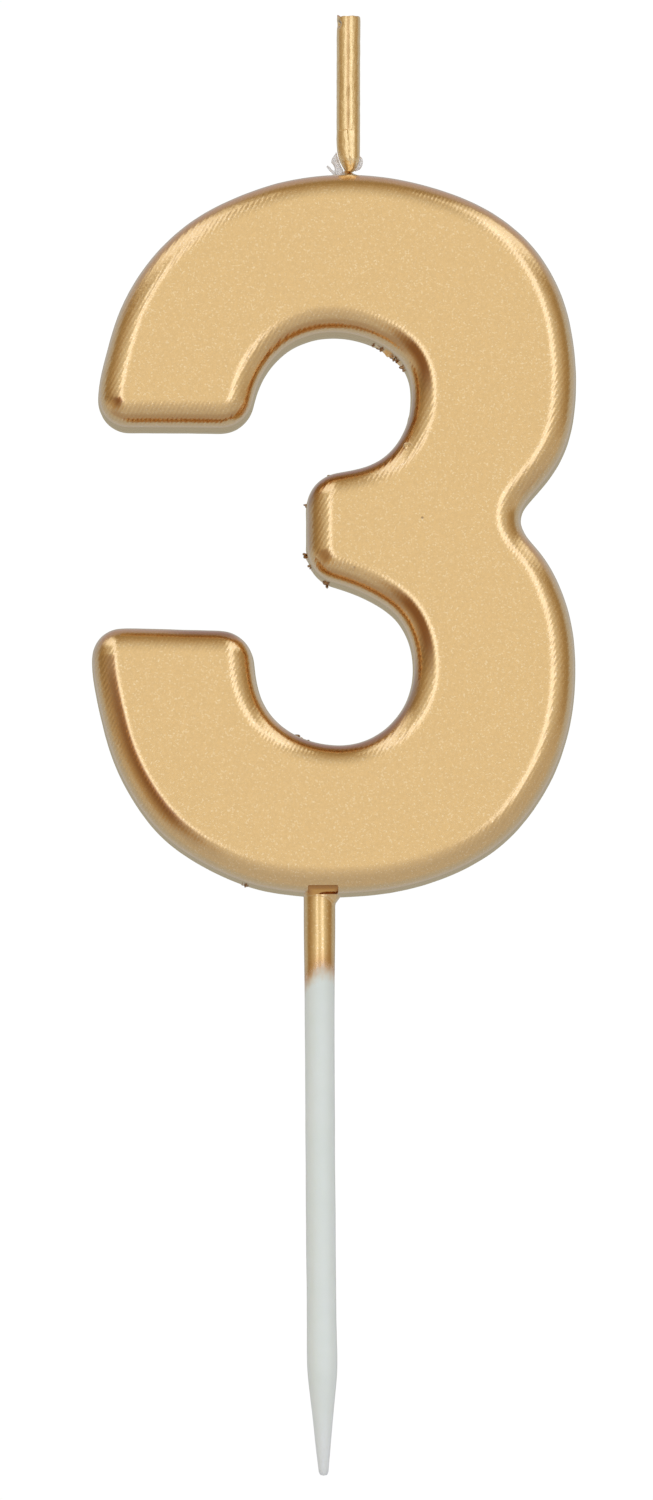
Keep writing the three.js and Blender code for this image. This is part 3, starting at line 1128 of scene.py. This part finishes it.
def studio_level(graph, off_axis, azimuth, height, stand, behind):
    """Brightness of the studio in every direction, with a slightly darker wall on the left."""
    above = graph.ease(off_axis, 15.0, 95.0, 0.94, 0.38)
    below = graph.ease(off_axis, -30.0, 70.0, 1.04, 0.61)
    level = graph.blend(graph.ease(height, 2.0, -16.0), above, below)
    left_wall = graph.window(azimuth, -90.0, -30.0, 10.0)
    left_wall = graph.product(left_wall, graph.window(height, -14.0, 14.0, 10.0), 0.1)
    level = graph.product(level, graph.math("SUBTRACT", 1.0, left_wall))
    level = graph.blend(stand, level, 0.6)
    level = graph.math("ADD", level, soft_boxes(graph, azimuth, height))
    return graph.blend(behind, level, graph.ease(off_axis, 140.0, 168.0, 0.56, 0.39))


def studio_tint(graph, level, off_axis, height, stand, behind):
    """Warm walls and ceiling, a neutral floor, whiter lamps and a backdrop of its own colour behind."""
    ceiling = graph.mix(graph.ease(level, 0.35, 0.8), (1.0, 0.77, 0.46), (1.0, 1.0, 0.97))
    tint = graph.mix(graph.ease(height, -45.0, 5.0), (1.0, 1.0, 1.04), ceiling)
    tint = graph.mix(stand, tint, (1.0, 0.82, 0.58))
    tint = graph.mix(graph.ease(level, 0.95, 1.4), tint, (0.97, 1.07, 1.33))
    backdrop = graph.mix(graph.ease(height, 15.0, 45.0), (0.96, 1.04, 1.18), (0.97, 0.86, 0.95))
    straight_behind = graph.ease(off_axis, 140.0, 168.0)
    return graph.mix(behind, tint, graph.mix(straight_behind, backdrop, (1.0, 0.91, 0.68)))


def studio_world():
    """Light from all round: a soft box and a high wing on each side, and a warm stand low on the left.

    The camera itself sees plain white.
    """
    world = bpy.data.worlds.new("studio")
    bpy.context.scene.world = world
    world.use_nodes = True
    graph = Graph(world.node_tree)
    off_axis, azimuth, height = studio_directions(graph)
    stand = graph.window(azimuth, -73.0, -29.0, 6.0)
    stand = graph.product(stand, graph.window(height, -38.0, -5.0, 6.0))
    behind = graph.ease(off_axis, 92.0, 112.0)
    level = studio_level(graph, off_axis, azimuth, height, stand, behind)
    tint = studio_tint(graph, level, off_axis, height, stand, behind)
    light = graph.node("ShaderNodeBackground")
    graph.fill(light, Color=tint, Strength=level)
    seen = graph.node("ShaderNodeBackground")
    graph.fill(seen, Color=(1, 1, 1), Strength=1.02)
    both = graph.node("ShaderNodeMixShader")
    graph.feed(both.inputs[0], graph.node("ShaderNodeLightPath").outputs["Is Camera Ray"])
    graph.feed(both.inputs[1], light.outputs[0])
    graph.feed(both.inputs[2], seen.outputs[0])
    graph.feed(graph.node("ShaderNodeOutputWorld").inputs[0], both.outputs[0])


def pale_floor():
    """A wide disc well below the candle, which hangs clear of it."""
    angles = [2 * math.pi * k / FLOOR_SIDES for k in range(FLOOR_SIDES)]
    points = [(FLOOR_RADIUS * math.cos(a), FLOOR_RADIUS * math.sin(a), FLOOR_HEIGHT) for a in angles]
    floor = new_object("floor", points, [tuple(range(FLOOR_SIDES))])
    material, graph, shader, place = new_material(
        "floor_paper", Roughness=0.9, Emission_Color=(1.0, 0.99, 0.97), Emission_Strength=0.3
    )
    shade = graph.noise(place, 400.0, 2)
    graph.fill(shader, Base_Color=graph.mix(shade, (0.93, 0.93, 0.925), (0.95, 0.95, 0.945)))
    floor.data.materials.append(material)
    floor.visible_glossy = False
    floor.visible_diffuse = False


def make_camera():
    """A long lens a little below the candle, looking up at it."""
    lens = bpy.data.cameras.new("camera")
    camera = bpy.data.objects.new("camera", lens)
    bpy.context.scene.collection.objects.link(camera)
    place = Vector(CAMERA_PLACE) * MM
    aim = Vector(CAMERA_AIM) * MM
    camera.location = place
    camera.rotation_mode = "QUATERNION"
    camera.rotation_quaternion = (aim - place).to_track_quat("-Z", "Y")
    lens.sensor_width = 36
    lens.lens = FOCAL_LENGTH
    lens.clip_start, lens.clip_end = 0.05, 50
    bpy.context.scene.camera = camera


studio_world()
pale_floor()
make_camera()
bpy.context.scene.view_settings.view_transform = "Standard"
